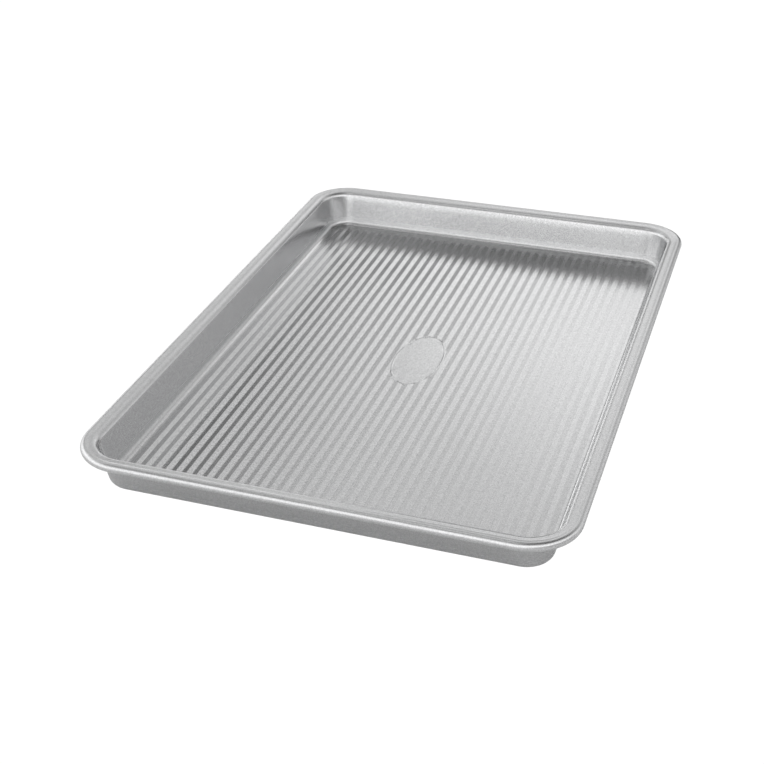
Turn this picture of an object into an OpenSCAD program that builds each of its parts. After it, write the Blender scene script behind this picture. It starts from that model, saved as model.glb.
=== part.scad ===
// Jelly roll pan: one sheet of aluminised steel, pressed into a shallow tray with a fluted
// floor, its edge rolled round a steel wire. X runs across the flutes, Y along them, Z up.
// The origin is the middle of the face that the pan rests on. Millimetres throughout.

/* [Overall] */
// Length over the rolled rim, along the flutes
pan_length = 397; // [300:1:480]
// Width over the rolled rim, across the flutes
pan_width = 273; // [200:1:340]
// Height from the resting face to the top of the rolled rim
pan_height = 25.4; // [20:0.2:36]
// Thickness of the pressed sheet
sheet = 0.8; // [0.6:0.1:1.2]

/* [Rolled rim] */
// Diameter of the wire inside the rolled rim
wire_diameter = 3.4; // [2.6:0.1:4.4]
// Clearance between the wire and the sheet rolled round it
wire_clearance = 0.1; // [0.05:0.05:0.2]
// Gap between the two ends of the wire, where they meet
wire_joint_gap = 0.5; // [0.2:0.1:1.5]
// Part of the circle that the roll leaves open under the shoulder, in degrees
mouth_angle = 40; // [25:5:80]
// How far the flat shoulder lies below the top of the roll
shoulder_drop = 1; // [0.6:0.1:1.4]
// Width of the shoulder, from the middle of the roll to the start of its bend
shoulder_width = 5.4; // [4.4:0.1:8]
// Inside radius of the bend from shoulder to wall
shoulder_bend = 1.2; // [0.8:0.1:2.5]
// Corner radius of the rim, seen from above, to the middle of the roll
corner_radius = 26; // [21:0.5:40]

/* [Walls] */
// Lean of the walls from the vertical, in degrees
wall_draft = 12; // [6:1:20]
// Inside radius between the walls and the floor
floor_radius = 4; // [2:0.5:8]

/* [Flutes] */
// Distance from one flute to the next
flute_pitch = 6.2; // [5:0.1:9]
// Height of the flutes from valley to crest
flute_height = 0.4; // [0.3:0.1:1.2]
// Width of the plain oval left in the middle of the floor
oval_width = 29; // [15:1:60]
// Length of the plain oval
oval_length = 62; // [30:1:100]

/* [Hidden] */
$fn = 96;

// Depth of the narrow flat lands that the underside of the flutes rests on
land_depth = 0.03;
// Depth by which the wall fillets pass below the flat floor, so that they meet it at an angle
blend_depth = 0.05;
// Amount by which each round stands out past the faces it joins, so that it crosses them
nip = 0.002;
// Height of the plain margins beside the flutes above the bottoms of the valleys
margin_rise = 0.02;
// Overrun of a cutting shape past the face it cuts
overrun = 1;
// Sides of the polygon that stands for the oval
oval_sides = 48;
// Colours of the coated steel sheet and of the bare wire
sheet_colour = "silver";
wire_colour = "darkgray";

// Rolled rim
bore_r = wire_diameter / 2 + wire_clearance;
roll_r = bore_r + sheet;
roll_z = pan_height - roll_r;
half_width = pan_width / 2 - roll_r;
half_length = pan_length / 2 - roll_r;

// Shoulder and bend: the bend's centre lies under the shoulder, just outside the wall
shoulder_z = pan_height - shoulder_drop;
bend_r = shoulder_bend + sheet;
bend_z = shoulder_z - bend_r;

// Fluted floor: equal arcs, turned up and down in turn, that meet at their steepest point
flute_slope = 2 * atan(2 * flute_height / flute_pitch);
flute_r = flute_pitch / 4 / sin(flute_slope);
flute_mid = flute_height / 2 + sheet - land_depth;

// Fillet between wall and floor, measured in from the middle of the roll
fillet_z = sheet - land_depth - blend_depth + floor_radius;
fillet_in = shoulder_width
    + ((bend_z - fillet_z) * sin(wall_draft) + floor_radius + bend_r) / cos(wall_draft);

// Corner axes: every bend of a corner turns round the same upright line
axis_x = half_width - corner_radius;
axis_y = half_length - corner_radius;

// Whole flutes that fit on the flat floor
flute_count = floor(2 * (half_width - fillet_in) / flute_pitch);
flute_span = flute_count * flute_pitch;

// Height at which the wall of the tray is joined to the wall of the rim
join_z = bend_z - shoulder_bend;

// Centres of the bend and of the fillet, measured out from the corner axis
bend_centre = [corner_radius - shoulder_width, bend_z];
fillet_centre = [corner_radius - fillet_in, fillet_z];

// The point where the wall leaves the bend, for a face at a distance r from the bend's centre
function bend_point(r) = bend_centre + r * [-cos(wall_draft), sin(wall_draft)];
// The point where the same face of the wall reaches the join of rim and tray
function join_point(r) =
    let (p = bend_point(r)) [p[0] + (join_z - p[1]) * tan(wall_draft), join_z];
// The point where the wall enters the fillet, for a fillet of radius f
function fillet_point(f) = fillet_centre + f * [cos(wall_draft), -sin(wall_draft)];
// Place of a flute across the pan, counted from the first valley
function flute_x(i) = i * flute_pitch - flute_span / 2;

// Carries a section round the pan. The section's x is its distance from the corner axis.
module round_the_pan() {
    for (side = [0, 1]) rotate([0, 0, 180 * side]) {
        translate([axis_x, axis_y, 0]) rotate([90, 0, 0]) linear_extrude(2 * axis_y) children();
        translate([-axis_x, axis_y, 0]) rotate([90, 0, 90]) linear_extrude(2 * axis_x) children();
        translate([axis_x, axis_y, 0]) rotate_extrude(angle = 90) children();
        translate([-axis_x, axis_y, 0]) rotate([0, 0, 90]) rotate_extrude(angle = 90) children();
    }
}

// Section of a solid tray whose walls lie at a distance r from the bend's centre, and whose
// fillets have the radius f, filled in to the corner axis and cut off at the height top
module tray_section(r, f, top) {
    low = fillet_z - f;
    polygon([
        [0, low], [fillet_centre[0], low], fillet_point(f), join_point(r), [join_point(r)[0], top], [0, top]
    ]);
    translate(fillet_centre) intersection() {
        circle(f + nip);
        translate([-f / 2, -2 * f]) square(3 * f);
    }
}

// A solid tray: its section carried round the pan, and the middle filled in
module solid_tray(r, f, top) {
    low = fillet_z - f;
    round_the_pan() tray_section(r, f, top);
    translate([-axis_x, -axis_y, low]) cube([2 * axis_x, 2 * axis_y, top - low]);
}

// Cross-section of all the space above the fluted surface that lies depth under the top of
// the sheet: all above the level where the arcs meet, with a round valley added and a round
// crest taken out in turn, and a plain margin at each side
module above_flutes(depth) {
    level = flute_mid - depth * cos(flute_slope);
    margin_z = max(0, flute_mid - flute_height / 2 - depth + margin_rise);
    valley_r = flute_r + depth;
    crest_r = flute_r - depth;
    difference() {
        union() {
            translate([-half_width, level]) square([2 * half_width, pan_height]);
            for (x = [-half_width, flute_span / 2])
                translate([x, margin_z]) square([half_width - flute_span / 2, pan_height]);
            intersection() {
                for (i = [0 : flute_count])
                    translate([flute_x(i), level + valley_r * cos(flute_slope)]) circle(valley_r);
                translate([-half_width, 0]) square([2 * half_width, pan_height]);
            }
        }
        for (i = [0 : flute_count - 1])
            translate([flute_x(i + 0.5), level - crest_r * cos(flute_slope)]) circle(crest_r + nip);
    }
}

// Outline of the plain oval
module oval() {
    polygon([for (i = [0 : oval_sides - 1])
        [oval_width / 2 * cos(i * 360 / oval_sides), oval_length / 2 * sin(i * 360 / oval_sides)]]);
}

// All the space above the floor's top face, or above its underside when depth is the sheet:
// fluted outside the oval, flat at the middle height of the flutes inside it
module above_floor(depth) {
    difference() {
        translate([0, half_length, 0]) rotate([90, 0, 0])
            linear_extrude(2 * half_length) above_flutes(depth);
        translate([0, 0, -overrun]) linear_extrude(flute_mid - depth + overrun) oval();
    }
    translate([0, 0, flute_mid - depth]) linear_extrude(pan_height) oval();
}

// Section of all that lies behind the wall and under the shoulder, for a face of the sheet at
// a distance r from the bend's centre, from the height low upward and out to root
module behind_bend(r, low, root) {
    polygon([
        [root, low], [join_point(r)[0], low], join_point(r), bend_point(r),
        bend_centre + [0, r], [root, bend_z + r]
    ]);
    translate(bend_centre) circle(r + nip);
}

// Section of the rolled rim: the roll round the wire, open at its mouth, the shoulder, the
// bend and the top of the wall, down to where the tray takes over
module rim_section() {
    under = shoulder_z - sheet - roll_z;
    over = shoulder_z - roll_z;
    root = corner_radius
        - (sqrt(bore_r * bore_r - under * under) + sqrt(roll_r * roll_r - over * over)) / 2;
    lip = mouth_angle - asin(under / roll_r);
    reach = 2 * roll_r;
    translate([corner_radius, roll_z]) difference() {
        circle(roll_r);
        circle(bore_r);
        polygon([[0, under], [-reach, under], [-reach * cos(lip), -reach * sin(lip)], [0, 0]]);
    }
    difference() {
        intersection() {
            behind_bend(bend_r, join_z, root);
            translate([0, join_z]) square([root, pan_height]);
        }
        behind_bend(shoulder_bend, join_z - overrun, root + overrun);
    }
}

// The pressed sheet: rolled rim, walls and fluted floor in one piece
module pan_shell() {
    color(sheet_colour) union() {
        round_the_pan() rim_section();
        difference() {
            intersection() {
                solid_tray(shoulder_bend, floor_radius + sheet, join_z);
                above_floor(sheet);
            }
            intersection() {
                solid_tray(bend_r, floor_radius, join_z + overrun);
                above_floor(0);
            }
        }
    }
}

// The wire inside the rolled rim, bent to a ring with its ends meeting in one long side
module rim_wire() {
    color(wire_colour) difference() {
        round_the_pan() translate([corner_radius, roll_z]) circle(wire_diameter / 2);
        translate([half_width - wire_diameter, -wire_joint_gap / 2, roll_z - wire_diameter])
            cube([2 * wire_diameter, wire_joint_gap, 2 * wire_diameter]);
    }
}

pan_shell();
rim_wire();
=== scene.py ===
"""A jelly roll pan of aluminised steel, dressed for its picture.

One thin sheet is pressed into a shallow tray with a fluted floor, and its edge is rolled round
a steel wire. The sheet is one closed surface, worked out as whole arrays: a grid for each face
of the floor, a section carried round the pan for the walls and the rim, and a strip of
triangles where a grid meets the section. The wire keeps its own solid and gets its finish.

Lengths are in millimetres until a mesh is made. X runs across the flutes, Y along them, Z up.
"""

import logging
import math
from dataclasses import dataclass, field
from enum import Enum

import bpy
import numpy as np
from mathutils import Matrix, Vector


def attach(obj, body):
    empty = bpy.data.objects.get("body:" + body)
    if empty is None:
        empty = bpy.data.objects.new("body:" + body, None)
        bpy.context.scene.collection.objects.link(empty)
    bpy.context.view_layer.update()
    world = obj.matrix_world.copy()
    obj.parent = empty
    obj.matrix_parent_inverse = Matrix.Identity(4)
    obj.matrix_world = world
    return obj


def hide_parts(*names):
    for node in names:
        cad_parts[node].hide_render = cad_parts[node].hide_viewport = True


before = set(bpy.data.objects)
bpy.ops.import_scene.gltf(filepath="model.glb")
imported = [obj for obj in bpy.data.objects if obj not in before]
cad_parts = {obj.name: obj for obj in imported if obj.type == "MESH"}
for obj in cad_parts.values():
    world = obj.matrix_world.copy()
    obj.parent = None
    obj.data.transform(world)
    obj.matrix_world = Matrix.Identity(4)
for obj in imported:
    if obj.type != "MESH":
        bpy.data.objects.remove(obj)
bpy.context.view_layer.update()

MM = 0.001
log = logging.getLogger("pan")


class Slot(Enum):
    """Names for the pan's two material slots."""

    SHEET = "coated_sheet"
    WIRE = "wire"


class Face(Enum):
    """The two faces of the sheet."""

    UPPER = "upper"
    LOWER = "lower"


# ---- Sizes ----------------------------------------------------------------------------------


@dataclass(frozen=True)
class PanSizes:
    """Sizes of the pan in millimetres and degrees, as the solid has them."""

    length: float = 397.0
    width: float = 273.0
    height: float = 25.4
    sheet: float = 0.8
    bore_radius: float = 1.8
    mouth_angle: float = 40.0
    shoulder_drop: float = 1.0
    shoulder_width: float = 5.4
    shoulder_bend: float = 1.2
    corner_radius: float = 26.0
    wall_draft: float = 12.0
    floor_radius: float = 4.0
    flute_pitch: float = 6.2
    flute_height: float = 0.4
    oval_width: float = 29.0
    oval_length: float = 62.0
    land_depth: float = 0.03
    blend_depth: float = 0.05

    @property
    def roll_radius(self) -> float:
        """Outer radius of the rolled rim."""
        return self.bore_radius + self.sheet

    @property
    def roll_z(self) -> float:
        """Height of the middle of the roll."""
        return self.height - self.roll_radius

    @property
    def half_width(self) -> float:
        """Distance from the middle to the roll's middle line, across the flutes."""
        return self.width / 2 - self.roll_radius

    @property
    def half_length(self) -> float:
        """Distance from the middle to the roll's middle line, along the flutes."""
        return self.length / 2 - self.roll_radius

    @property
    def axis_x(self) -> float:
        """X of the upright line that a corner turns round."""
        return self.half_width - self.corner_radius

    @property
    def axis_y(self) -> float:
        """Y of the upright line that a corner turns round."""
        return self.half_length - self.corner_radius

    @property
    def shoulder_z(self) -> float:
        """Height of the flat shoulder's upper face."""
        return self.height - self.shoulder_drop

    @property
    def bend_radius(self) -> float:
        """Outer radius of the bend from shoulder to wall."""
        return self.shoulder_bend + self.sheet

    @property
    def bend_z(self) -> float:
        """Height of the bend's centre."""
        return self.shoulder_z - self.bend_radius

    @property
    def fillet_z(self) -> float:
        """Height of the centre of the fillet between wall and floor."""
        return self.sheet - self.land_depth - self.blend_depth + self.floor_radius

    @property
    def fillet_in(self) -> float:
        """Distance of the fillet's centre in from the middle of the roll."""
        draft = math.radians(self.wall_draft)
        drop = (self.bend_z - self.fillet_z) * math.sin(draft)
        return self.shoulder_width + (drop + self.floor_radius + self.bend_radius) / math.cos(draft)

    @property
    def flute_slope(self) -> float:
        """Steepest slope of the flutes, in radians."""
        return 2 * math.atan(2 * self.flute_height / self.flute_pitch)

    @property
    def flute_radius(self) -> float:
        """Radius of the flutes' arcs on the upper face."""
        return self.flute_pitch / 4 / math.sin(self.flute_slope)

    @property
    def flute_mid(self) -> float:
        """Middle height of the flutes' upper face."""
        return self.flute_height / 2 + self.sheet - self.land_depth

    @property
    def flute_count(self) -> int:
        """Whole flutes that fit on the flat floor."""
        return int(2 * (self.half_width - self.fillet_in) / self.flute_pitch)

    @property
    def flute_span(self) -> float:
        """Width of all the flutes together."""
        return self.flute_count * self.flute_pitch


# ---- Meshes ---------------------------------------------------------------------------------


@dataclass
class Surface:
    """Points and faces of a surface that is put together from parts.

    Attributes:
        points: blocks of points, each an array of n by 3, in millimetres.
        quads: blocks of four-cornered faces, as indices into all the points.
        triangles: blocks of three-cornered faces.
        painted_shade: for each block of points, how much painted shade darkens the base colour there.
        count: points so far.
    """

    points: list[np.ndarray] = field(default_factory=list)
    quads: list[np.ndarray] = field(default_factory=list)
    triangles: list[np.ndarray] = field(default_factory=list)
    painted_shade: list[np.ndarray] = field(default_factory=list)
    count: int = 0

    def add_points(self, grid: np.ndarray, painted_shade: np.ndarray | float) -> np.ndarray:
        """Adds a grid of points.

        Args:
            grid: an array of rows by columns by 3.
            painted_shade: the weight of painted shade, from 0 to 1, for all the points or for each.

        Returns:
            The points' indices, an array of rows by columns.
        """
        rows, columns = grid.shape[:2]
        first = self.count
        self.points.append(grid.reshape(-1, 3))
        self.painted_shade.append(np.broadcast_to(painted_shade, (rows, columns)).ravel())
        self.count += rows * columns
        return first + np.arange(rows * columns).reshape(rows, columns)

    def add_grid(self, index: np.ndarray, flip: bool = False) -> None:
        """Fills a grid of indices with quads, facing the side from which rows to columns turns left.

        Args:
            index: indices of the points, rows by columns.
            flip: whether the quads face the other side.
        """
        ring = [index[:-1, :-1], index[:-1, 1:], index[1:, 1:], index[1:, :-1]]
        if flip:
            ring.reverse()
        self.quads.append(np.stack(ring, axis=-1).reshape(-1, 4))

    def add_strip(
        self, inner: np.ndarray, at_inner: np.ndarray, outer: np.ndarray, at_outer: np.ndarray, flip: bool
    ) -> None:
        """Joins two closed loops that start at the same place but have different counts.

        Walking both loops at once, in the order of their places, each new point makes one
        triangle with the last point of each loop.

        Args:
            inner: indices of the inner loop, its first point repeated at the end.
            at_inner: rising places of those points along the outline.
            outer: indices of the outer loop, closed in the same way.
            at_outer: rising places of those points.
            flip: whether the triangles face down.
        """
        steps = np.concatenate([at_inner[1:], at_outer[1:]])
        order = np.argsort(steps, kind="stable")
        is_inner = order < len(at_inner) - 1
        i = np.cumsum(is_inner) - is_inner
        j = np.cumsum(~is_inner) - ~is_inner
        fresh = np.where(is_inner, inner[np.minimum(i + 1, len(inner) - 1)], outer[np.minimum(j + 1, len(outer) - 1)])
        faces = np.stack([inner[i], outer[j], fresh], axis=-1)
        self.triangles.append(faces[:, ::-1] if flip else faces)

    def build(self, name: str, sharp_angle: float) -> bpy.types.Object:
        """Makes the mesh object, in metres, smooth but for edges sharper than an angle.

        Args:
            name: the piece's name.
            sharp_angle: in degrees.

        Returns:
            The new object, at the origin.
        """
        points = np.concatenate(self.points).astype(np.float32) * np.float32(MM)
        quads = np.concatenate(self.quads)
        triangles = np.concatenate(self.triangles)
        corners = np.concatenate([quads.ravel(), triangles.ravel()]).astype(np.int32)
        sizes = np.concatenate([np.full(len(quads), 4), np.full(len(triangles), 3)])
        starts = np.concatenate([[0], np.cumsum(sizes)[:-1]]).astype(np.int32)
        mesh = bpy.data.meshes.new(name)
        mesh.vertices.add(len(points))
        mesh.vertices.foreach_set("co", points.ravel())
        mesh.loops.add(len(corners))
        mesh.loops.foreach_set("vertex_index", corners)
        mesh.polygons.add(len(starts))
        mesh.polygons.foreach_set("loop_start", starts)
        mesh.update(calc_edges=True)
        mesh.validate()
        layer = mesh.attributes.new("painted_shade", "FLOAT", "POINT")
        layer.data.foreach_set("value", np.concatenate(self.painted_shade).astype(np.float32))
        mesh.shade_smooth()
        mesh.set_sharp_from_angle(angle=math.radians(sharp_angle))
        piece = bpy.data.objects.new(name, mesh)
        bpy.context.scene.collection.objects.link(piece)
        return piece


def smooth_step(low: float, high: float, value: np.ndarray) -> np.ndarray:
    """Rises from 0 at low to 1 at high along t * t * (3 - 2 * t).

    Args:
        low: where the rise starts.
        high: where it ends.
        value: any array.

    Returns:
        An array of the same shape.
    """
    t = np.clip((value - low) / (high - low), 0.0, 1.0)
    return t * t * (3.0 - 2.0 * t)


def soft_max(a: np.ndarray, b: np.ndarray, blend: float) -> np.ndarray:
    """The larger of two heights, rounded where they meet: (a + b + sqrt((a - b)^2 + k^2)) / 2.

    Args:
        a: one height.
        b: the other.
        blend: the k of the formula, in millimetres.

    Returns:
        The rounded upper height.
    """
    return 0.5 * (a + b + np.sqrt((a - b) ** 2 + blend * blend))


def arc(centre: tuple[float, float], radius: float, start: float, end: float, steps: int) -> np.ndarray:
    """Points of an arc: centre + radius * (cos a, sin a), for a from start to end.

    Args:
        centre: (inset, height) in millimetres.
        radius: in millimetres.
        start: first angle in degrees, 0 towards the pan's middle and 90 up.
        end: last angle.
        steps: number of equal steps.

    Returns:
        An array of steps + 1 by 2.
    """
    a = np.radians(np.linspace(start, end, steps + 1))
    return np.stack([centre[0] + radius * np.cos(a), centre[1] + radius * np.sin(a)], axis=-1)


def line(start: np.ndarray, end: np.ndarray, steps: int) -> np.ndarray:
    """The points between two points of a section, without the two themselves.

    Args:
        start: (inset, height).
        end: (inset, height).
        steps: number of equal steps.

    Returns:
        An array of steps - 1 by 2.
    """
    t = np.linspace(0.0, 1.0, steps + 1)[1:-1, None]
    return np.asarray(start) * (1 - t) + np.asarray(end) * t


# ---- The pan --------------------------------------------------------------------------------


@dataclass(frozen=True)
class Outline:
    """The rounded rectangle that every level of the pan follows.

    A place on it is a length along the roll's middle line, from the lower end of the right
    side, turning left. Its foot is a point of the rectangle of corner axes, and the level at
    an inset u lies at foot + (corner radius - u) * direction.
    """

    sizes: PanSizes
    side_step: float = 8.0
    corner_steps: int = 24

    @property
    def corner_length(self) -> float:
        """Length of one corner's quarter circle."""
        return self.sizes.corner_radius * math.pi / 2

    @property
    def total(self) -> float:
        """Length of the whole outline."""
        return 4 * (self.sizes.axis_x + self.sizes.axis_y + self.corner_length)

    def places(self) -> np.ndarray:
        """The stations round the pan: equal steps on each side and in each corner.

        Returns:
            Rising places from 0 to the outline's length, both ends included.
        """
        parts = [np.zeros(1)]
        at = 0.0
        for side in (self.sizes.axis_y, self.sizes.axis_x) * 2:
            steps = round(2 * side / self.side_step)
            parts.append(at + np.linspace(0, 2 * side, steps + 1)[1:])
            at += 2 * side
            parts.append(at + np.linspace(0, self.corner_length, self.corner_steps + 1)[1:])
            at += self.corner_length
        return np.concatenate(parts)

    def stations(self, places: np.ndarray) -> tuple[np.ndarray, np.ndarray]:
        """Feet and directions at the given places.

        Args:
            places: places along the outline.

        Returns:
            Two arrays of n by 2: the feet and the unit directions outward.
        """
        ax, ay = self.sizes.axis_x, self.sizes.axis_y
        foot = np.zeros((len(places), 2))
        angle = np.zeros(len(places))
        at = 0.0
        corners = [(ax, -ay), (ax, ay), (-ax, ay), (-ax, -ay), (ax, -ay)]
        for quarter in range(4):
            (x0, y0), (x1, y1) = corners[quarter], corners[quarter + 1]
            side = math.hypot(x1 - x0, y1 - y0)
            t = np.clip((places - at) / side, 0, 1)[:, None]
            turn = np.clip((places - at - side) / self.corner_length, 0, 1)
            here = places >= at
            foot = np.where(here[:, None], np.array([x0, y0]) * (1 - t) + np.array([x1, y1]) * t, foot)
            angle = np.where(here, (quarter + turn) * math.pi / 2, angle)
            at += side + self.corner_length
        return foot, np.stack([np.cos(angle), np.sin(angle)], axis=-1)

    def place_of(self, x: np.ndarray, y: np.ndarray) -> np.ndarray:
        """The place of points near the outline, of one closed loop that starts at place 0.

        Args:
            x: the points' X.
            y: the points' Y.

        Returns:
            Their places, with the loop's last point at the outline's length.
        """
        ax, ay = self.sizes.axis_x, self.sizes.axis_y
        cx, cy = np.clip(x, -ax, ax), np.clip(y, -ay, ay)
        turn = np.arctan2(y - cy, x - cx) % (2 * math.pi)
        quarter = np.floor(turn / (math.pi / 2) + 1e-9)
        arc_part = (turn / (math.pi / 2) - quarter) * self.corner_length
        along = np.select(
            [quarter == 0, quarter == 1, quarter == 2, quarter == 3],
            [cy + ay, ax - cx, ay - cy, cx + ax],
        )
        ends = np.cumsum([0, 2 * ay + self.corner_length, 2 * ax + self.corner_length, 2 * ay + self.corner_length])
        place = ends[quarter.astype(int) % 4] + along + arc_part
        place[-1] = self.total
        place[0] = 0.0
        return place

    def inset(self, x: np.ndarray, y: np.ndarray) -> np.ndarray:
        """Distance in from the roll's middle line: corner radius - distance from the axes' rectangle.

        Args:
            x: the points' X.
            y: the points' Y.

        Returns:
            The insets in millimetres.
        """
        qx, qy = np.abs(x) - self.sizes.axis_x, np.abs(y) - self.sizes.axis_y
        beyond = np.hypot(np.maximum(qx, 0), np.maximum(qy, 0)) + np.minimum(np.maximum(qx, qy), 0)
        return self.sizes.corner_radius - beyond


@dataclass(frozen=True)
class FlutedFloor:
    """The floor with its flutes, its plain oval and the foot of the fillets round it."""

    sizes: PanSizes
    outline: Outline
    crease_share: float = 0.25
    rim_turn: float = 48.0
    blend: float = 0.12
    oval_edge: float = 0.35
    end_start: float = 160.0

    def fillet_radius(self, face: Face) -> float:
        """Radius of the fillets between floor and walls, on one face of the sheet."""
        return self.sizes.floor_radius + (0.0 if face is Face.UPPER else self.sizes.sheet)

    def flutes(self, x: np.ndarray, face: Face) -> np.ndarray:
        """Height of the flutes: straight flanks between tight creases.

        With t the distance from the nearest valley as a share of half the pitch, and c the
        creases' share, the rise is t^2 / c up to t = c / 2, t - c / 4 on the flank, and
        1 - c / 2 - (1 - t)^2 / c past t = 1 - c / 2, all times height / (1 - c / 2).

        Args:
            x: the points' X.
            face: the face of the sheet.

        Returns:
            The heights.
        """
        s = self.sizes
        c = self.crease_share
        bottom = s.flute_mid - s.flute_height / 2 - (0.0 if face is Face.UPPER else s.sheet)
        t = np.abs(x / s.flute_pitch - np.round(x / s.flute_pitch)) * 2
        t = np.where(np.abs(x) > s.flute_span / 2, 0.0, t)
        rise = np.where(t < c / 2, t**2 / c, np.where(t > 1 - c / 2, 1 - c / 2 - (1 - t) ** 2 / c, t - c / 4))
        return np.maximum(bottom + rise * s.flute_height / (1 - c / 2), 0.0)

    def oval_share(self, x: np.ndarray, y: np.ndarray) -> np.ndarray:
        """How far a point belongs to the plain oval: 1 inside it, 0 outside, with a soft edge.

        The distance from the ellipse is about (f - 1) / |grad f|, with f the root of
        (x / a)^2 + (y / b)^2.

        Args:
            x: the points' X.
            y: the points' Y.

        Returns:
            The shares.
        """
        a, b = self.sizes.oval_width / 2, self.sizes.oval_length / 2
        f = np.sqrt((x / a) ** 2 + (y / b) ** 2) + 1e-9
        gradient = np.sqrt((x / a**2) ** 2 + (y / b**2) ** 2) / f + 1e-9
        return smooth_step(self.oval_edge, -self.oval_edge, (f - 1) / gradient)

    def height(self, x: np.ndarray, y: np.ndarray, face: Face) -> np.ndarray:
        """Height of the floor and the foot of the fillets.

        Args:
            x: the points' X.
            y: the points' Y.
            face: the face of the sheet.

        Returns:
            The heights.
        """
        s = self.sizes
        depth = 0.0 if face is Face.UPPER else s.sheet
        fillet_r = self.fillet_radius(face)
        share = self.oval_share(x, y)
        pressed = self.flutes(x, face) * (1 - share) + (s.flute_mid - depth) * share
        past = s.fillet_in - self.outline.inset(x, y)
        rise = s.fillet_z - np.sqrt(np.maximum(fillet_r**2 - np.maximum(past, 0) ** 2, 0))
        rise = rise + 0.5 * np.minimum(past, 0)
        return soft_max(pressed, rise, self.blend) if face is Face.UPPER else np.maximum(pressed, rise)

    def painted_shade(self, x: np.ndarray, y: np.ndarray) -> np.ndarray:
        """Painted shade in the flutes' valleys: 1 at the bottom of each valley, falling evenly to 0 at its crease's
        end.

        Args:
            x: the points' X.
            y: the points' Y.

        Returns:
            The weight of painted shade on the upper face.
        """
        s = self.sizes
        away = np.abs(x / s.flute_pitch - np.round(x / s.flute_pitch)) * 4 / self.crease_share
        inside = (np.abs(x) <= s.flute_span / 2) & (self.outline.inset(x, y) > s.fillet_in)
        return np.maximum(1 - away, 0) * inside * (1 - self.oval_share(x, y))

    def edge_inset(self, face: Face) -> float:
        """Inset of the grid's edge, part of the way up the fillet."""
        return self.sizes.fillet_in - self.fillet_radius(face) * math.sin(math.radians(self.rim_turn))

    def columns(self, face: Face) -> np.ndarray:
        """X of the grid's columns: close together in the creases and up the side fillets.

        Args:
            face: the face of the sheet.

        Returns:
            Rising values of X.
        """
        s = self.sizes
        edge_r = s.corner_radius - self.edge_inset(face)
        side = s.axis_x + edge_r * np.sin(np.radians([50, 55, 60, 65, 70, 75, 80, 84, 87, 90]))
        side = side[side > s.flute_span / 2 + 0.2]
        w = self.crease_share / 4
        shares = np.array([0.0, w, 0.5 - w, 0.5, 0.5 + w, 1 - w])
        if face is Face.UPPER:
            shares = np.array([0.0, w / 2, w, 0.5 - w, 0.5 - w / 2, 0.5, 0.5 + w / 2, 0.5 + w, 1 - w, 1 - w / 2])
        first = np.arange(s.flute_count)[:, None] * s.flute_pitch - s.flute_span / 2
        inner = np.append((first + shares * s.flute_pitch).ravel(), s.flute_span / 2)
        return np.concatenate([-side[::-1], inner, side])

    def rows(self, face: Face) -> tuple[np.ndarray, np.ndarray]:
        """Where the grid's rows lie.

        Args:
            face: the face of the sheet.

        Returns:
            Y of the middle rows, and the shares of the way from the last of them to the end.
        """
        if face is Face.UPPER:
            half = np.concatenate(
                [np.arange(1.5, 25.5, 1.5), np.arange(25.5, 33, 0.5), np.linspace(33, self.end_start, 15)]
            )
            ends = np.concatenate([[0.2, 0.4, 0.55, 0.65, 0.7, 0.74, 0.78, 0.81, 0.84], np.linspace(0.86, 1, 13)])
        else:
            half = np.concatenate([np.arange(3, 24, 3), np.arange(25, 33, 1), np.linspace(34, self.end_start, 8)])
            ends = np.concatenate([[0.3, 0.55, 0.68, 0.76, 0.82], np.linspace(0.86, 1, 9)])
        return np.concatenate([-half[::-1], [0.0], half]), ends

    def grid(self, face: Face) -> np.ndarray:
        """The grid's points: each column ends on the rounded rectangle at the edge's inset.

        Args:
            face: the face of the sheet.

        Returns:
            Points, rows by columns by 3.
        """
        s = self.sizes
        x = self.columns(face)
        edge_r = s.corner_radius - self.edge_inset(face)
        over = np.clip(np.abs(x) - s.axis_x, 0, edge_r)
        end = s.axis_y + np.sqrt(np.maximum(edge_r**2 - over**2, 0))
        middle, shares = self.rows(face)
        top = middle[-1] + shares[:, None] * (end - middle[-1])[None, :]
        y = np.concatenate([-top[::-1], np.repeat(middle[:, None], len(x), axis=1), top])
        x = np.repeat(x[None, :], len(y), axis=0)
        return np.stack([x, y, self.height(x, y, face)], axis=-1)

    def add_to(self, surface: Surface, face: Face) -> tuple[np.ndarray, np.ndarray]:
        """Adds one face of the floor to the surface.

        Args:
            surface: what the floor is added to.
            face: the face of the sheet.

        Returns:
            The indices of its edge as a closed loop, and their places along the outline.
        """
        points = self.grid(face)
        # Painted shade: the upper face is darkened along its valleys, the lower face all over.
        index = surface.add_points(points, self.painted_shade(points[..., 0], points[..., 1]) if face is Face.UPPER else 1.0)
        surface.add_grid(index, flip=face is Face.LOWER)
        loop = np.concatenate([index[:, -1], index[-1, -2::-1], index[-2::-1, 0], index[0, 1:]])
        flat = points.reshape(-1, 3)[loop - index[0, 0]]
        return loop, self.outline.place_of(flat[:, 0], flat[:, 1])


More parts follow.
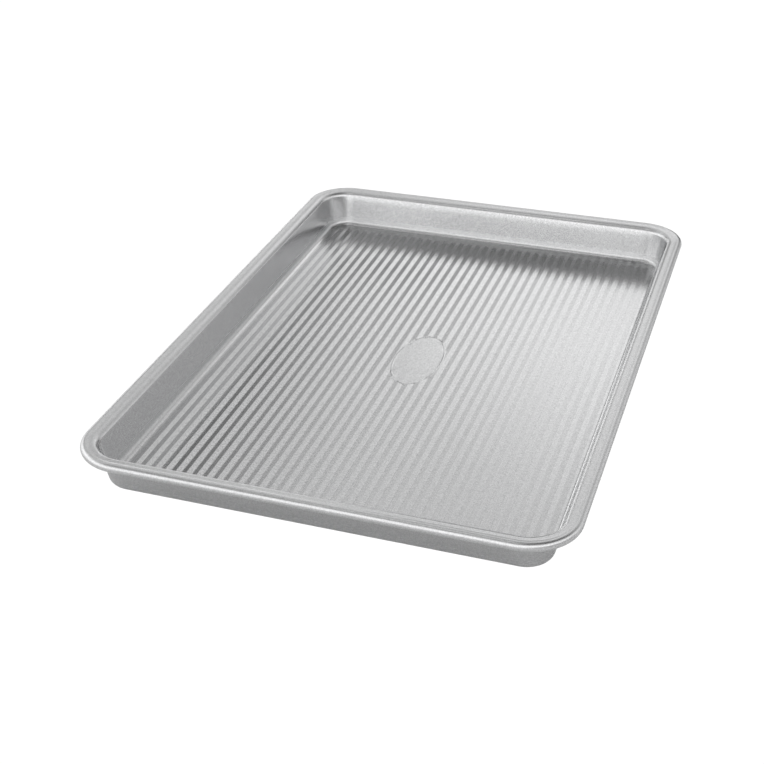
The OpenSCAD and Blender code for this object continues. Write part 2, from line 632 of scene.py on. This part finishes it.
@dataclass(frozen=True)
class RolledRim:
    """The walls, the shoulder and the rim rolled round its wire, as one section carried round."""

    sizes: PanSizes
    outline: Outline
    floor: FlutedFloor
    soft_bend: float = 4.2
    soft_gap: float = 0.15
    lift: float = 0.5
    wrinkle: float = 0.03
    wrinkle_turns: float = 7.0

    def section(self) -> tuple[np.ndarray, np.ndarray]:
        """The section from the upper fillet over the rim to the lower fillet.

        The bend from wall to shoulder is drawn with the soft radius b, and the shoulder lies
        higher by the lift, so that it runs softly into the roll. The bend's centre moves out by
        (b - bend radius) * (1 - sin draft) / cos draft, and by lift * tan draft. The crease between shoulder and roll
        has the radius (u^2 - R^2 + h^2) / (2 * (R - h)), with R the roll's radius, h the
        shoulder's height over its middle and u the inset where the crease starts.

        Returns:
            Points of (inset, height), in order, and 1 for each point of the outer face, where the base colour is
            painted darker as painted shade.
        """
        s = self.sizes
        fillet = (s.fillet_in, s.fillet_z)
        draft = math.radians(s.wall_draft)
        out = (self.soft_bend - s.bend_radius) * (1 - math.sin(draft)) / math.cos(draft)
        shoulder_z = s.shoulder_z + self.lift
        bend = (s.shoulder_width - out - self.lift * math.tan(draft), shoulder_z - self.soft_bend)
        roll = (0.0, s.roll_z)
        foot, top = 270 - self.floor.rim_turn, 180 + s.wall_draft
        under = s.shoulder_z - s.sheet - s.roll_z
        lip = 360 - (s.mouth_angle - math.degrees(math.asin(under / s.roll_radius)))
        crease_u = bend[0] - self.soft_gap
        over = shoulder_z - s.roll_z
        crease_radius = (crease_u**2 - s.roll_radius**2 + over**2) / (2 * (s.roll_radius - over))
        crease_z = shoulder_z + crease_radius
        crease_turn = math.degrees(math.atan2(crease_z - s.roll_z, crease_u))
        upper_fillet = arc(fillet, s.floor_radius, foot, top, 5)[1:]
        upper_bend = arc(bend, self.soft_bend, s.wall_draft, 90, 10)
        crease = arc((crease_u, crease_z), crease_radius, 270, 180 + crease_turn, 5)
        roll_outside = arc(roll, s.roll_radius, crease_turn, lip - 2.5, 30)[1:]
        lip_edge = np.concatenate([arc(roll, r, lip, lip, 1)[:1] for r in (s.roll_radius - 0.1, s.bore_radius + 0.1)])
        bore = arc(roll, s.bore_radius, lip - 3, math.degrees(math.asin(under / s.bore_radius)), 14)
        lower_bend = arc((s.shoulder_width, s.bend_z), s.shoulder_bend, 90, s.wall_draft, 6)
        lower_fillet = arc(fillet, s.floor_radius + s.sheet, top, foot, 5)[:-1]
        inner = [upper_fillet, line(upper_fillet[-1], upper_bend[0], 5), upper_bend, crease, roll_outside]
        outer = [lip_edge, bore, line(bore[-1], lower_bend[0], 3), lower_bend]
        outer += [line(lower_bend[-1], lower_fillet[0], 5), lower_fillet]
        # The outer face takes full painted shade: its base colour is darkened all over.
        painted_shade_weight = np.concatenate([np.zeros(sum(map(len, inner))), np.ones(sum(map(len, outer)))])
        return np.concatenate(inner + outer), painted_shade_weight

    def wrinkles(self, places: np.ndarray, height: np.ndarray) -> np.ndarray:
        """Shallow upright wrinkles that pressing leaves in the corners' walls.

        The shift is a * sin(2 pi n t) * w(t) * h(z), with t the share of the corner's turn, w a
        window over it and h one over the wall's height.

        Args:
            places: places along the outline.
            height: heights of the section's points.

        Returns:
            Shifts inward, section points by places.
        """
        s = self.sizes
        period = [s.axis_y, s.axis_x]
        shift = np.zeros(len(places))
        at = 0.0
        for corner in range(4):
            at += 2 * period[corner % 2]
            t = (places - at) / self.outline.corner_length
            window = smooth_step(-0.05, 0.25, t) * smooth_step(1.05, 0.75, t)
            wave = np.sin(2 * math.pi * (self.wrinkle_turns * t + 0.37 * corner))
            shift += self.wrinkle * window * wave
            at += self.outline.corner_length
        reach = smooth_step(2.5, 8.0, height) * smooth_step(s.bend_z + 0.5, 15.0, height)
        return reach[:, None] * shift[None, :]

    def add_to(self, surface: Surface) -> tuple[np.ndarray, np.ndarray, np.ndarray]:
        """Adds the rim to the surface.

        Args:
            surface: what the rim is added to.

        Returns:
            The closed loops at the section's start and end, and their places.
        """
        section, painted_shade_weight = self.section()
        places = self.outline.places()
        foot, direction = self.outline.stations(places[:-1])
        inset = section[:, :1] + self.wrinkles(places[:-1], section[:, 1])
        reach = self.sizes.corner_radius - inset
        flat = foot[None] + reach[:, :, None] * direction[None]
        height = np.broadcast_to(section[:, 1][:, None, None], flat.shape[:2] + (1,))
        index = surface.add_points(np.concatenate([flat, height], axis=-1), painted_shade_weight[:, None])
        index = np.concatenate([index, index[:, :1]], axis=1)
        surface.add_grid(index, flip=True)
        return index[0], index[-1], places


@dataclass
class PanShell:
    """The pressed sheet: fluted floor, walls and rolled rim as one closed surface."""

    sizes: PanSizes
    name: str = "pan_shell_dressed"
    sharp_angle: float = 50.0

    def build(self, finish: "SheetFinish") -> bpy.types.Object:
        """Makes the sheet's mesh and dresses it.

        Args:
            finish: the sheet's finish.

        Returns:
            The piece, riding on the pan's one body.
        """
        outline = Outline(self.sizes)
        floor = FlutedFloor(self.sizes, outline)
        surface = Surface()
        upper, at_upper = floor.add_to(surface, Face.UPPER)
        lower, at_lower = floor.add_to(surface, Face.LOWER)
        start, end, places = RolledRim(self.sizes, outline, floor).add_to(surface)
        surface.add_strip(upper, at_upper, start, places, flip=False)
        surface.add_strip(lower, at_lower, end, places, flip=True)
        piece = surface.build(self.name, self.sharp_angle)
        piece.data.materials.append(finish.material())
        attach(piece, "root")
        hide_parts("pan_shell")
        return piece


@dataclass
class RimWire:
    """The wire inside the rolled rim: its own solid, with a better finish."""

    node: str = "rim_wire"

    def build(self, finish: "WireFinish") -> bpy.types.Object:
        """Puts the wire's finish in its solid's material slots.

        Args:
            finish: the wire's finish.

        Returns:
            The wire's object.
        """
        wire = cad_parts[self.node]
        material = finish.material()
        for slot in wire.material_slots:
            slot.material = material
        return wire


# ---- Finishes -------------------------------------------------------------------------------


@dataclass
class NodeBoard:
    """Short ways to place and join the nodes of one tree."""

    tree: bpy.types.NodeTree

    def add(self, kind: str, **values: object) -> bpy.types.Node:
        """Adds a node, sets its properties, and sets or links its inputs.

        Args:
            kind: the node's type.
            values: a property by its name, or an input by its name with spaces as double
                underscores, or by in_ and its number; an input that gets a socket is linked.

        Returns:
            The node.
        """
        node = self.tree.nodes.new(kind)
        for key, value in values.items():
            if hasattr(node, key) and not key.startswith("in_"):
                setattr(node, key, value)
                continue
            socket = node.inputs[int(key[3:])] if key.startswith("in_") else node.inputs[key.replace("__", " ")]
            if isinstance(value, bpy.types.NodeSocket):
                self.tree.links.new(value, socket)
            else:
                socket.default_value = value
        return node

    def math(self, operation: str, a: object, b: object = 0.0, clamp: bool = False) -> bpy.types.NodeSocket:
        """The result of one Math node.

        Args:
            operation: the node's operation.
            a: first value or socket.
            b: second value or socket.
            clamp: whether the result is held between 0 and 1.

        Returns:
            The node's output.
        """
        return self.add("ShaderNodeMath", operation=operation, in_0=a, in_1=b, use_clamp=clamp).outputs[0]

    def ramp(self, value: object, low: float, high: float, to_low: float, to_high: float) -> bpy.types.NodeSocket:
        """A value carried smoothly from one range to another.

        Args:
            value: value or socket.
            low: where the source range starts.
            high: where it ends.
            to_low: what low becomes.
            to_high: what high becomes.

        Returns:
            The node's output.
        """
        node = self.add("ShaderNodeMapRange", interpolation_type="SMOOTHSTEP", in_0=value, in_1=low, in_2=high)
        node.inputs[3].default_value = to_low
        node.inputs[4].default_value = to_high
        return node.outputs[0]

    def noise(self, vector: object, scale: float, detail: float, roughness: float = 0.5) -> bpy.types.NodeSocket:
        """A noise between 0 and 1 on a vector.

        Args:
            vector: the place's socket.
            scale: cells per unit of the vector.
            detail: octaves.
            roughness: strength of the finer octaves.

        Returns:
            The node's factor.
        """
        node = self.add("ShaderNodeTexNoise", Vector=vector, Scale=scale, Detail=detail, Roughness=roughness)
        return node.outputs["Fac"]


def new_group(
    name: str, inputs: dict[str, tuple[str, object]], outputs: dict[str, str]
) -> tuple[bpy.types.NodeTree, NodeBoard, bpy.types.Node, bpy.types.Node]:
    """Starts a shader node group with named sockets.

    Args:
        name: the group's name.
        inputs: each input's socket type and first value.
        outputs: each output's socket type.

    Returns:
        The tree, its board, and its input and output nodes.
    """
    tree = bpy.data.node_groups.new(name, "ShaderNodeTree")
    for label, (kind, value) in inputs.items():
        socket = tree.interface.new_socket(label, in_out="INPUT", socket_type=kind)
        if value is not None:
            socket.default_value = value
    for label, kind in outputs.items():
        tree.interface.new_socket(label, in_out="OUTPUT", socket_type=kind)
    board = NodeBoard(tree)
    return tree, board, board.add("NodeGroupInput"), board.add("NodeGroupOutput")


class SharedEffects:
    """Node groups that more than one finish uses, each built once."""

    _made: dict[str, bpy.types.NodeTree] = {}

    @classmethod
    def grain(cls) -> bpy.types.NodeTree:
        """Fine speckled grain of a rolled and coated sheet.

        Returns:
            A group from Vector and Size to Shade and Height, both round 0.5.
        """
        if "grain" not in cls._made:
            floats = "NodeSocketFloat"
            tree, board, source, sink = new_group(
                "mill_grain", {"Vector": ("NodeSocketVector", None), "Size": (floats, 0.6)}, {"Shade": floats, "Height": floats}
            )
            scale = board.math("DIVIDE", 1.0, source.outputs["Size"])
            place = board.add("ShaderNodeVectorMath", operation="SCALE", in_0=source.outputs["Vector"])
            board.tree.links.new(scale, place.inputs["Scale"])
            fine = board.noise(place.outputs[0], 1000.0, 1.0, 0.5)
            broad = board.noise(place.outputs[0], 400.0, 1.0, 0.5)
            shade = board.math("ADD", board.math("MULTIPLY", fine, 0.7), board.math("MULTIPLY", broad, 0.3))
            tree.links.new(board.ramp(shade, 0.36, 0.64, 0.0, 1.0), sink.inputs["Shade"])
            tree.links.new(fine, sink.inputs["Height"])
            cls._made["grain"] = tree
        return cls._made["grain"]

    @classmethod
    def scratches(cls) -> bpy.types.NodeTree:
        """Hair scratches and rub marks from handling and stacking.

        Returns:
            A group from Vector and Amount to Mask.
        """
        if "scratches" not in cls._made:
            floats = "NodeSocketFloat"
            tree, board, source, sink = new_group(
                "handling_marks", {"Vector": ("NodeSocketVector", None), "Amount": (floats, 1.0)}, {"Mask": floats}
            )
            total: object = 0.0
            for turn, seed in ((0.5, 0.0), (1.9, 3.7)):
                mapping = board.add("ShaderNodeMapping", Vector=source.outputs["Vector"])
                mapping.inputs["Rotation"].default_value = (0, 0, turn)
                mapping.inputs["Location"].default_value = (seed, seed, 0)
                mapping.inputs["Scale"].default_value = (9.0, 2600.0, 60.0)
                streak = board.noise(mapping.outputs[0], 1.0, 1.0)
                where = board.noise(source.outputs["Vector"], 23.0 + seed, 1.0)
                line_mask = board.ramp(streak, 0.70, 0.78, 0.0, 1.0)
                total = board.math("ADD", total, board.math("MULTIPLY", line_mask, board.ramp(where, 0.5, 0.7, 0, 1)))
            mask = board.math("MULTIPLY", total, source.outputs["Amount"], clamp=True)
            tree.links.new(mask, sink.inputs["Mask"])
            cls._made["scratches"] = tree
        return cls._made["scratches"]

    @classmethod
    def place(cls, board: NodeBoard, tree: bpy.types.NodeTree, **values: object) -> bpy.types.Node:
        """Places one of the groups in a material.

        Args:
            board: the material's board.
            tree: the group.
            values: its inputs, as NodeBoard.add takes them.

        Returns:
            The group's node.
        """
        node = board.tree.nodes.new("ShaderNodeGroup")
        node.node_tree = tree
        for key, value in values.items():
            socket = node.inputs[key]
            if isinstance(value, bpy.types.NodeSocket):
                board.tree.links.new(value, socket)
            else:
                socket.default_value = value
        return node


def new_material(name: str) -> tuple[bpy.types.Material, NodeBoard, bpy.types.Node, bpy.types.NodeSocket]:
    """Starts a material with a Principled shader.

    Args:
        name: the material's name.

    Returns:
        The material, its board, its shader and the socket of Object coordinates.
    """
    material = bpy.data.materials.new(name)
    material.use_nodes = True
    material.node_tree.nodes.clear()
    board = NodeBoard(material.node_tree)
    shader = board.add("ShaderNodeBsdfPrincipled")
    sink = board.add("ShaderNodeOutputMaterial")
    material.node_tree.links.new(shader.outputs[0], sink.inputs["Surface"])
    place = board.add("ShaderNodeTexCoord").outputs["Object"]
    return material, board, shader, place


@dataclass(frozen=True)
class SheetFinish:
    """Satin aluminised steel: neutral grey, strongly speckled, with a painted sheen on the rolled rim.

    Attributes:
        dark: colour of the coating's dark grains.
        light: colour of its light grains.
        rim: how much lighter the rolled rim's base colour is painted, a painted sheen on its top.
        rim_start: height at which the painted sheen and the rim's extra roughness start, in metres.
        rim_full: height at which both are complete.
        painted_shade: how much darker the base colour is painted, as painted shade in the valleys and on the outer
            face.
        rim_rough: how much rougher the rolled rim is than the sheet.
        fillet_rough: how much rougher the fillets are, where the sheet was stretched.
        roughness: roughness of the sheet.
        roughness_swing: how far clouds in the coating change it.
        grain_size: size of the grains, in millimetres.
        grain_depth: height of the grains, in metres.
        oval: width and length of the plain oval, in metres.
        bead_width: half the width of the bead pressed along the oval's edge, in metres.
        bead_height: height of that bead, in metres.
    """

    dark: tuple[float, float, float] = (0.515, 0.517, 0.521)
    light: tuple[float, float, float] = (0.685, 0.687, 0.691)
    rim: float = 0.12
    rim_start: float = 0.0215
    rim_full: float = 0.0235
    painted_shade: float = 0.14
    rim_rough: float = 0.12
    fillet_rough: float = 0.15
    roughness: float = 0.2
    roughness_swing: float = 0.03
    grain_size: float = 0.55
    grain_depth: float = 0.00002
    oval: tuple[float, float] = (0.029, 0.062)
    bead_width: float = 0.0007
    bead_height: float = 0.00025

    def material(self) -> bpy.types.Material:
        """Makes the sheet's material.

        Returns:
            The material.
        """
        material, board, shader, place = new_material("satin_coated_steel")
        grain = SharedEffects.place(board, SharedEffects.grain(), Vector=place, Size=self.grain_size)
        marks = SharedEffects.place(board, SharedEffects.scratches(), Vector=place, Amount=0.6)
        cloud = board.noise(place, 14.0, 3.0, 0.6)
        tone = board.math("ADD", board.math("MULTIPLY", grain.outputs["Shade"], 0.85), board.math("MULTIPLY", cloud, 0.15))
        tint = board.add("ShaderNodeMix", data_type="RGBA", clamp_factor=True)
        board.tree.links.new(tone, tint.inputs["Factor"])
        tint.inputs["A"].default_value = (*self.dark, 1)
        tint.inputs["B"].default_value = (*self.light, 1)
        height = board.add("ShaderNodeSeparateXYZ", in_0=place).outputs["Z"]
        # Painted sheen: the base colour turns lighter towards the top of the rolled rim, from rim_start to rim_full.
        painted_sheen_mix = board.add("ShaderNodeMix", data_type="RGBA", clamp_factor=True)
        board.tree.links.new(board.ramp(height, self.rim_start, self.rim_full, 0.0, self.rim), painted_sheen_mix.inputs["Factor"])
        board.tree.links.new(tint.outputs["Result"], painted_sheen_mix.inputs["A"])
        painted_sheen_mix.inputs["B"].default_value = (0.86, 0.862, 0.866, 1)
        # Painted shade: the base colour is darkened towards black in the flutes' valleys and on the whole outer face.
        painted_shade_weight = board.add("ShaderNodeAttribute", attribute_name="painted_shade").outputs["Fac"]
        painted_shade_mix = board.add("ShaderNodeMix", data_type="RGBA", clamp_factor=True)
        board.tree.links.new(board.math("MULTIPLY", painted_shade_weight, self.painted_shade), painted_shade_mix.inputs["Factor"])
        board.tree.links.new(painted_sheen_mix.outputs["Result"], painted_shade_mix.inputs["A"])
        painted_shade_mix.inputs["B"].default_value = (0, 0, 0, 1)
        board.tree.links.new(painted_shade_mix.outputs["Result"], shader.inputs["Base Color"])
        shader.inputs["Metallic"].default_value = 1.0
        swing = board.math("MULTIPLY", board.math("SUBTRACT", cloud, 0.5), self.roughness_swing)
        rough = board.math("ADD", swing, self.roughness)
        rough = board.math("ADD", rough, board.math("MULTIPLY", marks.outputs["Mask"], 0.05))
        rough = board.math("ADD", rough, board.ramp(height, self.rim_start, self.rim_full, 0.0, self.rim_rough))
        fillet = board.ramp(height, 0.0013, 0.002, 0.0, self.fillet_rough)
        rough = board.math("ADD", rough, board.math("MULTIPLY", fillet, board.ramp(height, 0.004, 0.008, 1.0, 0.0)))
        board.tree.links.new(rough, shader.inputs["Roughness"])
        bead = board.math("MULTIPLY", self.oval_bead(board, place), self.bead_height / self.grain_depth)
        relief = board.math("ADD", grain.outputs["Height"], bead)
        bump = board.add("ShaderNodeBump", Strength=0.5, Distance=self.grain_depth, Height=relief)
        board.tree.links.new(bump.outputs[0], shader.inputs["Normal"])
        return material

    def oval_bead(self, board: NodeBoard, place: bpy.types.NodeSocket) -> bpy.types.NodeSocket:
        """The fine bead pressed along the oval's edge: 1 on the ellipse, 0 a bead's width away.

        Args:
            board: the material's board.
            place: the socket of Object coordinates.

        Returns:
            The bead's share of its full height.
        """
        a, b = self.oval[0] / 2, self.oval[1] / 2
        unit = board.add("ShaderNodeVectorMath", operation="DIVIDE", in_0=place, in_1=(a, b, 1.0))
        flat = board.add("ShaderNodeVectorMath", operation="MULTIPLY", in_0=unit.outputs[0], in_1=(1.0, 1.0, 0.0))
        f = board.add("ShaderNodeVectorMath", operation="LENGTH", in_0=flat.outputs[0]).outputs["Value"]
        steep = board.add("ShaderNodeVectorMath", operation="DIVIDE", in_0=flat.outputs[0], in_1=(a, b, 1.0))
        gradient = board.add("ShaderNodeVectorMath", operation="LENGTH", in_0=steep.outputs[0]).outputs["Value"]
        away = board.math("DIVIDE", board.math("ABSOLUTE", board.math("SUBTRACT", f, 1.0)), gradient)
        return board.ramp(away, 0.0, self.bead_width, 1.0, 0.0)


@dataclass(frozen=True)
class WireFinish:
    """Drawn steel wire: darker and smoother than the sheet, with fine lines along it."""

    colour: tuple[float, float, float] = (0.42, 0.42, 0.43)
    roughness: float = 0.32

    def material(self) -> bpy.types.Material:
        """Makes the wire's material.

        Returns:
            The material.
        """
        material, board, shader, place = new_material("drawn_steel_wire")
        grain = SharedEffects.place(board, SharedEffects.grain(), Vector=place, Size=0.3)
        marks = SharedEffects.place(board, SharedEffects.scratches(), Vector=place, Amount=1.0)
        tint = board.add("ShaderNodeMix", data_type="RGBA")
        board.tree.links.new(grain.outputs["Shade"], tint.inputs["Factor"])
        tint.inputs["A"].default_value = (*(0.8 * c for c in self.colour), 1)
        tint.inputs["B"].default_value = (*(1.15 * c for c in self.colour), 1)
        board.tree.links.new(tint.outputs["Result"], shader.inputs["Base Color"])
        shader.inputs["Metallic"].default_value = 1.0
        rough = board.math("ADD", board.math("MULTIPLY", marks.outputs["Mask"], 0.15), self.roughness)
        board.tree.links.new(rough, shader.inputs["Roughness"])
        return material


@dataclass(frozen=True)
class FloorFinish:
    """The studio's plain pale floor: even white to the camera, a matt grey table to the pan."""

    colour: tuple[float, float, float] = (0.88, 0.88, 0.88)
    white: float = 1.05

    def material(self) -> bpy.types.Material:
        """Makes the floor's material.

        Returns:
            The material.
        """
        material, board, shader, place = new_material("studio_floor")
        shade = board.noise(place, 3.0, 2.0)
        tint = board.add("ShaderNodeMix", data_type="RGBA")
        board.tree.links.new(shade, tint.inputs["Factor"])
        tint.inputs["A"].default_value = (*self.colour, 1)
        tint.inputs["B"].default_value = (*(c + 0.01 for c in self.colour), 1)
        board.tree.links.new(tint.outputs["Result"], shader.inputs["Base Color"])
        shader.inputs["Roughness"].default_value = 0.9
        shader.inputs["Specular IOR Level"].default_value = 0.0
        glow = board.add("ShaderNodeEmission", Strength=self.white)
        ray = board.add("ShaderNodeLightPath").outputs["Is Camera Ray"]
        both = board.add("ShaderNodeMixShader", in_0=ray, in_1=shader.outputs[0], in_2=glow.outputs[0])
        sink = next(node for node in board.tree.nodes if node.type == "OUTPUT_MATERIAL")
        board.tree.links.new(both.outputs[0], sink.inputs["Surface"])
        return material


# ---- Studio and camera ----------------------------------------------------------------------


@dataclass(frozen=True)
class SoftPanel:
    """One soft rectangular panel of the light tent, brighter or darker than the tent's cloth.

    Attributes:
        azimuth: direction of its middle, in degrees from +Y towards +X.
        elevation: height of its middle, in degrees above the horizon.
        half_width: half its width, in degrees seen from the pan.
        half_height: half its height, in the same degrees.
        strength: brightness that it adds to the cloth, or takes from it.
    """

    azimuth: float
    elevation: float
    half_width: float
    half_height: float
    strength: float

    def glow(self, direction: np.ndarray) -> np.ndarray:
        """What the panel adds: strength * exp(-(u/w)^4 - (v/h)^4), with u and v the angles
        sideways and upward from its middle.

        Args:
            direction: unit vectors, in the last axis.

        Returns:
            The added brightness.
        """
        a, e = math.radians(self.azimuth), math.radians(self.elevation)
        middle = np.array([math.sin(a) * math.cos(e), math.cos(a) * math.cos(e), math.sin(e)])
        right = np.array([math.cos(a), -math.sin(a), 0.0])
        up = np.cross(right, middle)
        u = np.degrees(np.arctan2(direction @ right, direction @ middle))
        v = np.degrees(np.arcsin(np.clip(direction @ up, -1.0, 1.0)))
        return self.strength * np.exp(-((u / self.half_width) ** 4) - (v / self.half_height) ** 4)


@dataclass(frozen=True)
class Studio:
    """The floor, and the round light tent that stands over it.

    Attributes:
        base: brightness of the tent's cloth.
        sky: brightness outside the tent.
        tent_radius: radius of the tent, in metres.
        tent_step: size of the tent's faces, in degrees.
        panels: the soft panels on the cloth.
    """

    base: float = 0.8
    sky: float = 1.0
    tent_radius: float = 1.2
    tent_step: float = 3.0
    floor_size: float = 8.0
    floor_gap: float = 0.00005
    panels: tuple[SoftPanel, ...] = (
        SoftPanel(-96, 35, 56, 6, -2.12),
        SoftPanel(141, 67, 57, 40, -0.78),
        SoftPanel(252, 21, 43, 17, 0.78),
        SoftPanel(-3, 0, 15, 33, 0.89),
        SoftPanel(-22, 7, 6, 8, 2.94),
        SoftPanel(140, 31, 70, 26, 1.30),
        SoftPanel(-6, 9, 26, 10, -2.04),
        SoftPanel(-100, 35, 45, 6, 2.39),
        SoftPanel(217, 75, 7, 14, 1.57),
        SoftPanel(-32, 6, 6, 10, 1.29),
        SoftPanel(-51, 2, 45, 5, -0.58),
        SoftPanel(-39, 6, 13, 9, 0.21),
        SoftPanel(-40, 7, 14, 9, 0.30),
        SoftPanel(117, 0, 48, 22, -1.24),
        SoftPanel(-40, 7, 14, 9, 0.37),
        SoftPanel(-71, 1, 29, 6, 0.90),
    )

    def build(self) -> bpy.types.Object:
        """Makes the floor, the tent and the sky outside it.

        Returns:
            The floor.
        """
        half = self.floor_size / 2
        z = -self.floor_gap
        corners = [(-half, -half, z), (half, -half, z), (half, half, z), (-half, half, z)]
        floor = self.stage("studio_floor", corners, [(0, 1, 2, 3)], FloorFinish().material())
        self.tent()
        self.painted_shade_weight()
        return floor

    def stage(self, name: str, points: list, faces: list, material: bpy.types.Material) -> bpy.types.Object:
        """Makes one piece of the stage.

        Args:
            name: its name.
            points: its points.
            faces: its faces.
            material: its material.

        Returns:
            The object.
        """
        mesh = bpy.data.meshes.new(name)
        mesh.from_pydata(points, [], faces)
        mesh.materials.append(material)
        piece = bpy.data.objects.new(name, mesh)
        bpy.context.scene.collection.objects.link(piece)
        return piece

    def tent(self) -> None:
        """Makes the tent: a half sphere on a grid of azimuth and elevation, whose brightness at
        each point is the base and what the panels add there, never below nothing."""
        azimuth = np.radians(np.arange(0.0, 360.0, self.tent_step))
        elevation = np.radians(np.arange(0.0, 90.0 + self.tent_step / 2, self.tent_step))
        a, e = np.meshgrid(azimuth, elevation)
        direction = np.stack([np.sin(a) * np.cos(e), np.cos(a) * np.cos(e), np.sin(e)], axis=-1)
        index = np.arange(a.size).reshape(a.shape)
        after = np.roll(index, -1, axis=1)
        faces = np.stack([index[:-1], after[:-1], after[1:], index[1:]], axis=-1).reshape(-1, 4)
        glow = self.base + sum(panel.glow(direction) for panel in self.panels)
        points = (self.tent_radius * direction).reshape(-1, 3)
        tent = self.stage("light_tent", points.tolist(), faces.tolist(), self.cloth())
        layer = tent.data.attributes.new("glow", "FLOAT", "POINT")
        layer.data.foreach_set("value", np.maximum(glow, 0.0).ravel())
        tent.visible_camera = False

    def cloth(self) -> bpy.types.Material:
        """Makes the glowing cloth of the tent.

        Returns:
            The material.
        """
        material = bpy.data.materials.new("tent_cloth")
        material.use_nodes = True
        material.node_tree.nodes.clear()
        material.cycles.emission_sampling = "NONE"
        board = NodeBoard(material.node_tree)
        glow = board.add("ShaderNodeAttribute", attribute_name="glow")
        light = board.add("ShaderNodeEmission", Strength=glow.outputs["Fac"])
        sink = board.add("ShaderNodeOutputMaterial")
        material.node_tree.links.new(light.outputs[0], sink.inputs["Surface"])
        return material

    def painted_shade_weight(self) -> None:
        """Makes the world: the even sky that the camera sees past the tent."""
        world = bpy.data.worlds.new("soft_studio")
        world.use_nodes = True
        world.node_tree.nodes["Background"].inputs["Color"].default_value = (1, 1, 1, 1)
        world.node_tree.nodes["Background"].inputs["Strength"].default_value = self.sky
        bpy.context.scene.world = world


@dataclass(frozen=True)
class PictureCamera:
    """The camera at the picture's viewing angle, worked out from the rim's corners.

    Attributes:
        place: position in metres.
        azimuth: degrees from -Y towards +X.
        elevation: degrees above the horizon.
        roll: turn about the line of sight, in degrees.
        lens: focal length in millimetres, for a sensor 36 mm wide.
        shift: shift in shares of the picture's width.
    """

    place: tuple[float, float, float] = (0.21748, -0.7203, 0.42374)
    azimuth: float = math.degrees(0.3389)
    elevation: float = math.degrees(0.5282)
    roll: float = math.degrees(0.0146)
    lens: float = 65.19
    shift: tuple[float, float] = (0.0242, 0.0007)

    def build(self) -> bpy.types.Object:
        """Makes the camera and gives it to the scene.

        Returns:
            The camera.
        """
        a, e, r = (math.radians(v) for v in (self.azimuth, self.elevation, self.roll))
        back = Vector((math.sin(a) * math.cos(e), -math.cos(a) * math.cos(e), math.sin(e)))
        level = (-back).cross(Vector((0, 0, 1))).normalized()
        down = (-back).cross(level).normalized()
        right = math.cos(r) * level + math.sin(r) * down
        up = math.sin(r) * level - math.cos(r) * down
        data = bpy.data.cameras.new("picture_camera")
        data.lens = self.lens
        data.sensor_width = 36.0
        data.shift_x, data.shift_y = self.shift
        data.clip_start, data.clip_end = 0.01, 100.0
        camera = bpy.data.objects.new("picture_camera", data)
        turn = Matrix((right, up, back)).transposed().to_4x4()
        camera.matrix_world = Matrix.Translation(self.place) @ turn
        bpy.context.scene.collection.objects.link(camera)
        bpy.context.scene.camera = camera
        return camera


def main() -> None:
    """Builds the pan, its studio and its camera, and reports each piece."""
    logging.basicConfig(level=logging.INFO, format="%(message)s")
    sizes = PanSizes()
    shell = PanShell(sizes).build(SheetFinish())
    log.info("%s: %d faces", shell.name, len(shell.data.polygons))
    wire = RimWire().build(WireFinish())
    log.info("%s: %d faces", wire.name, len(wire.data.polygons))
    floor = Studio().build()
    log.info("%s: stage", floor.name)
    camera = PictureCamera().build()
    log.info("%s: lens %.1f mm", camera.name, camera.data.lens)
    bpy.context.scene.view_settings.view_transform = "Standard"
    bpy.context.scene.view_settings.look = "None"


if __name__ == "__main__":
    main()
